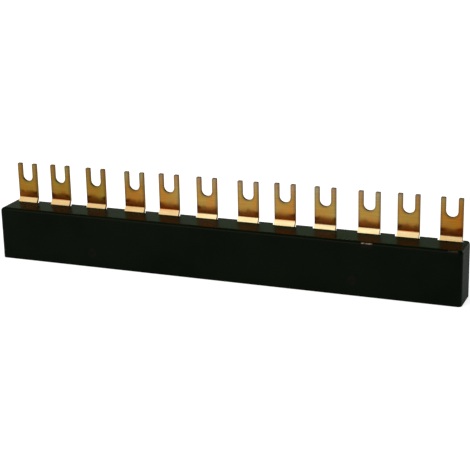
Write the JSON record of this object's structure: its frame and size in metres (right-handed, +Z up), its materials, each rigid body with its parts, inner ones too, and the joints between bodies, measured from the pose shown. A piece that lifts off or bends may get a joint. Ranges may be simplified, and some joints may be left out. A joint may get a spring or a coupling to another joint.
{
  "type": "comb busbar",
  "caption": "Slim moulded bar with cranked copper combs inside and a row of slotted forks along its back edge, for linking the screw terminals of switching devices.",
  "frame": {"origin": "middle of the housing's underside", "axes": "+X along the row of forks, +Y towards the side where the forks stand, +Z up to the tips of the forks"},
  "size_m": [0.1768, 0.0124, 0.0348],
  "materials": {
    "housing": "semi-gloss moulded",
    "cover": "semi-gloss moulded",
    "copper": "rolled, bright copper alloy",
    "insulation": "matt"
  },
  "bodies": {
    "root": {"housing": "housing", "back_cover": "cover", "comb_l1": "copper", "comb_l2": "copper", "comb_l3": "copper", "insulating_strip_front": "insulation", "insulating_strip_rear": "insulation"}
  },
  "joints": []
}
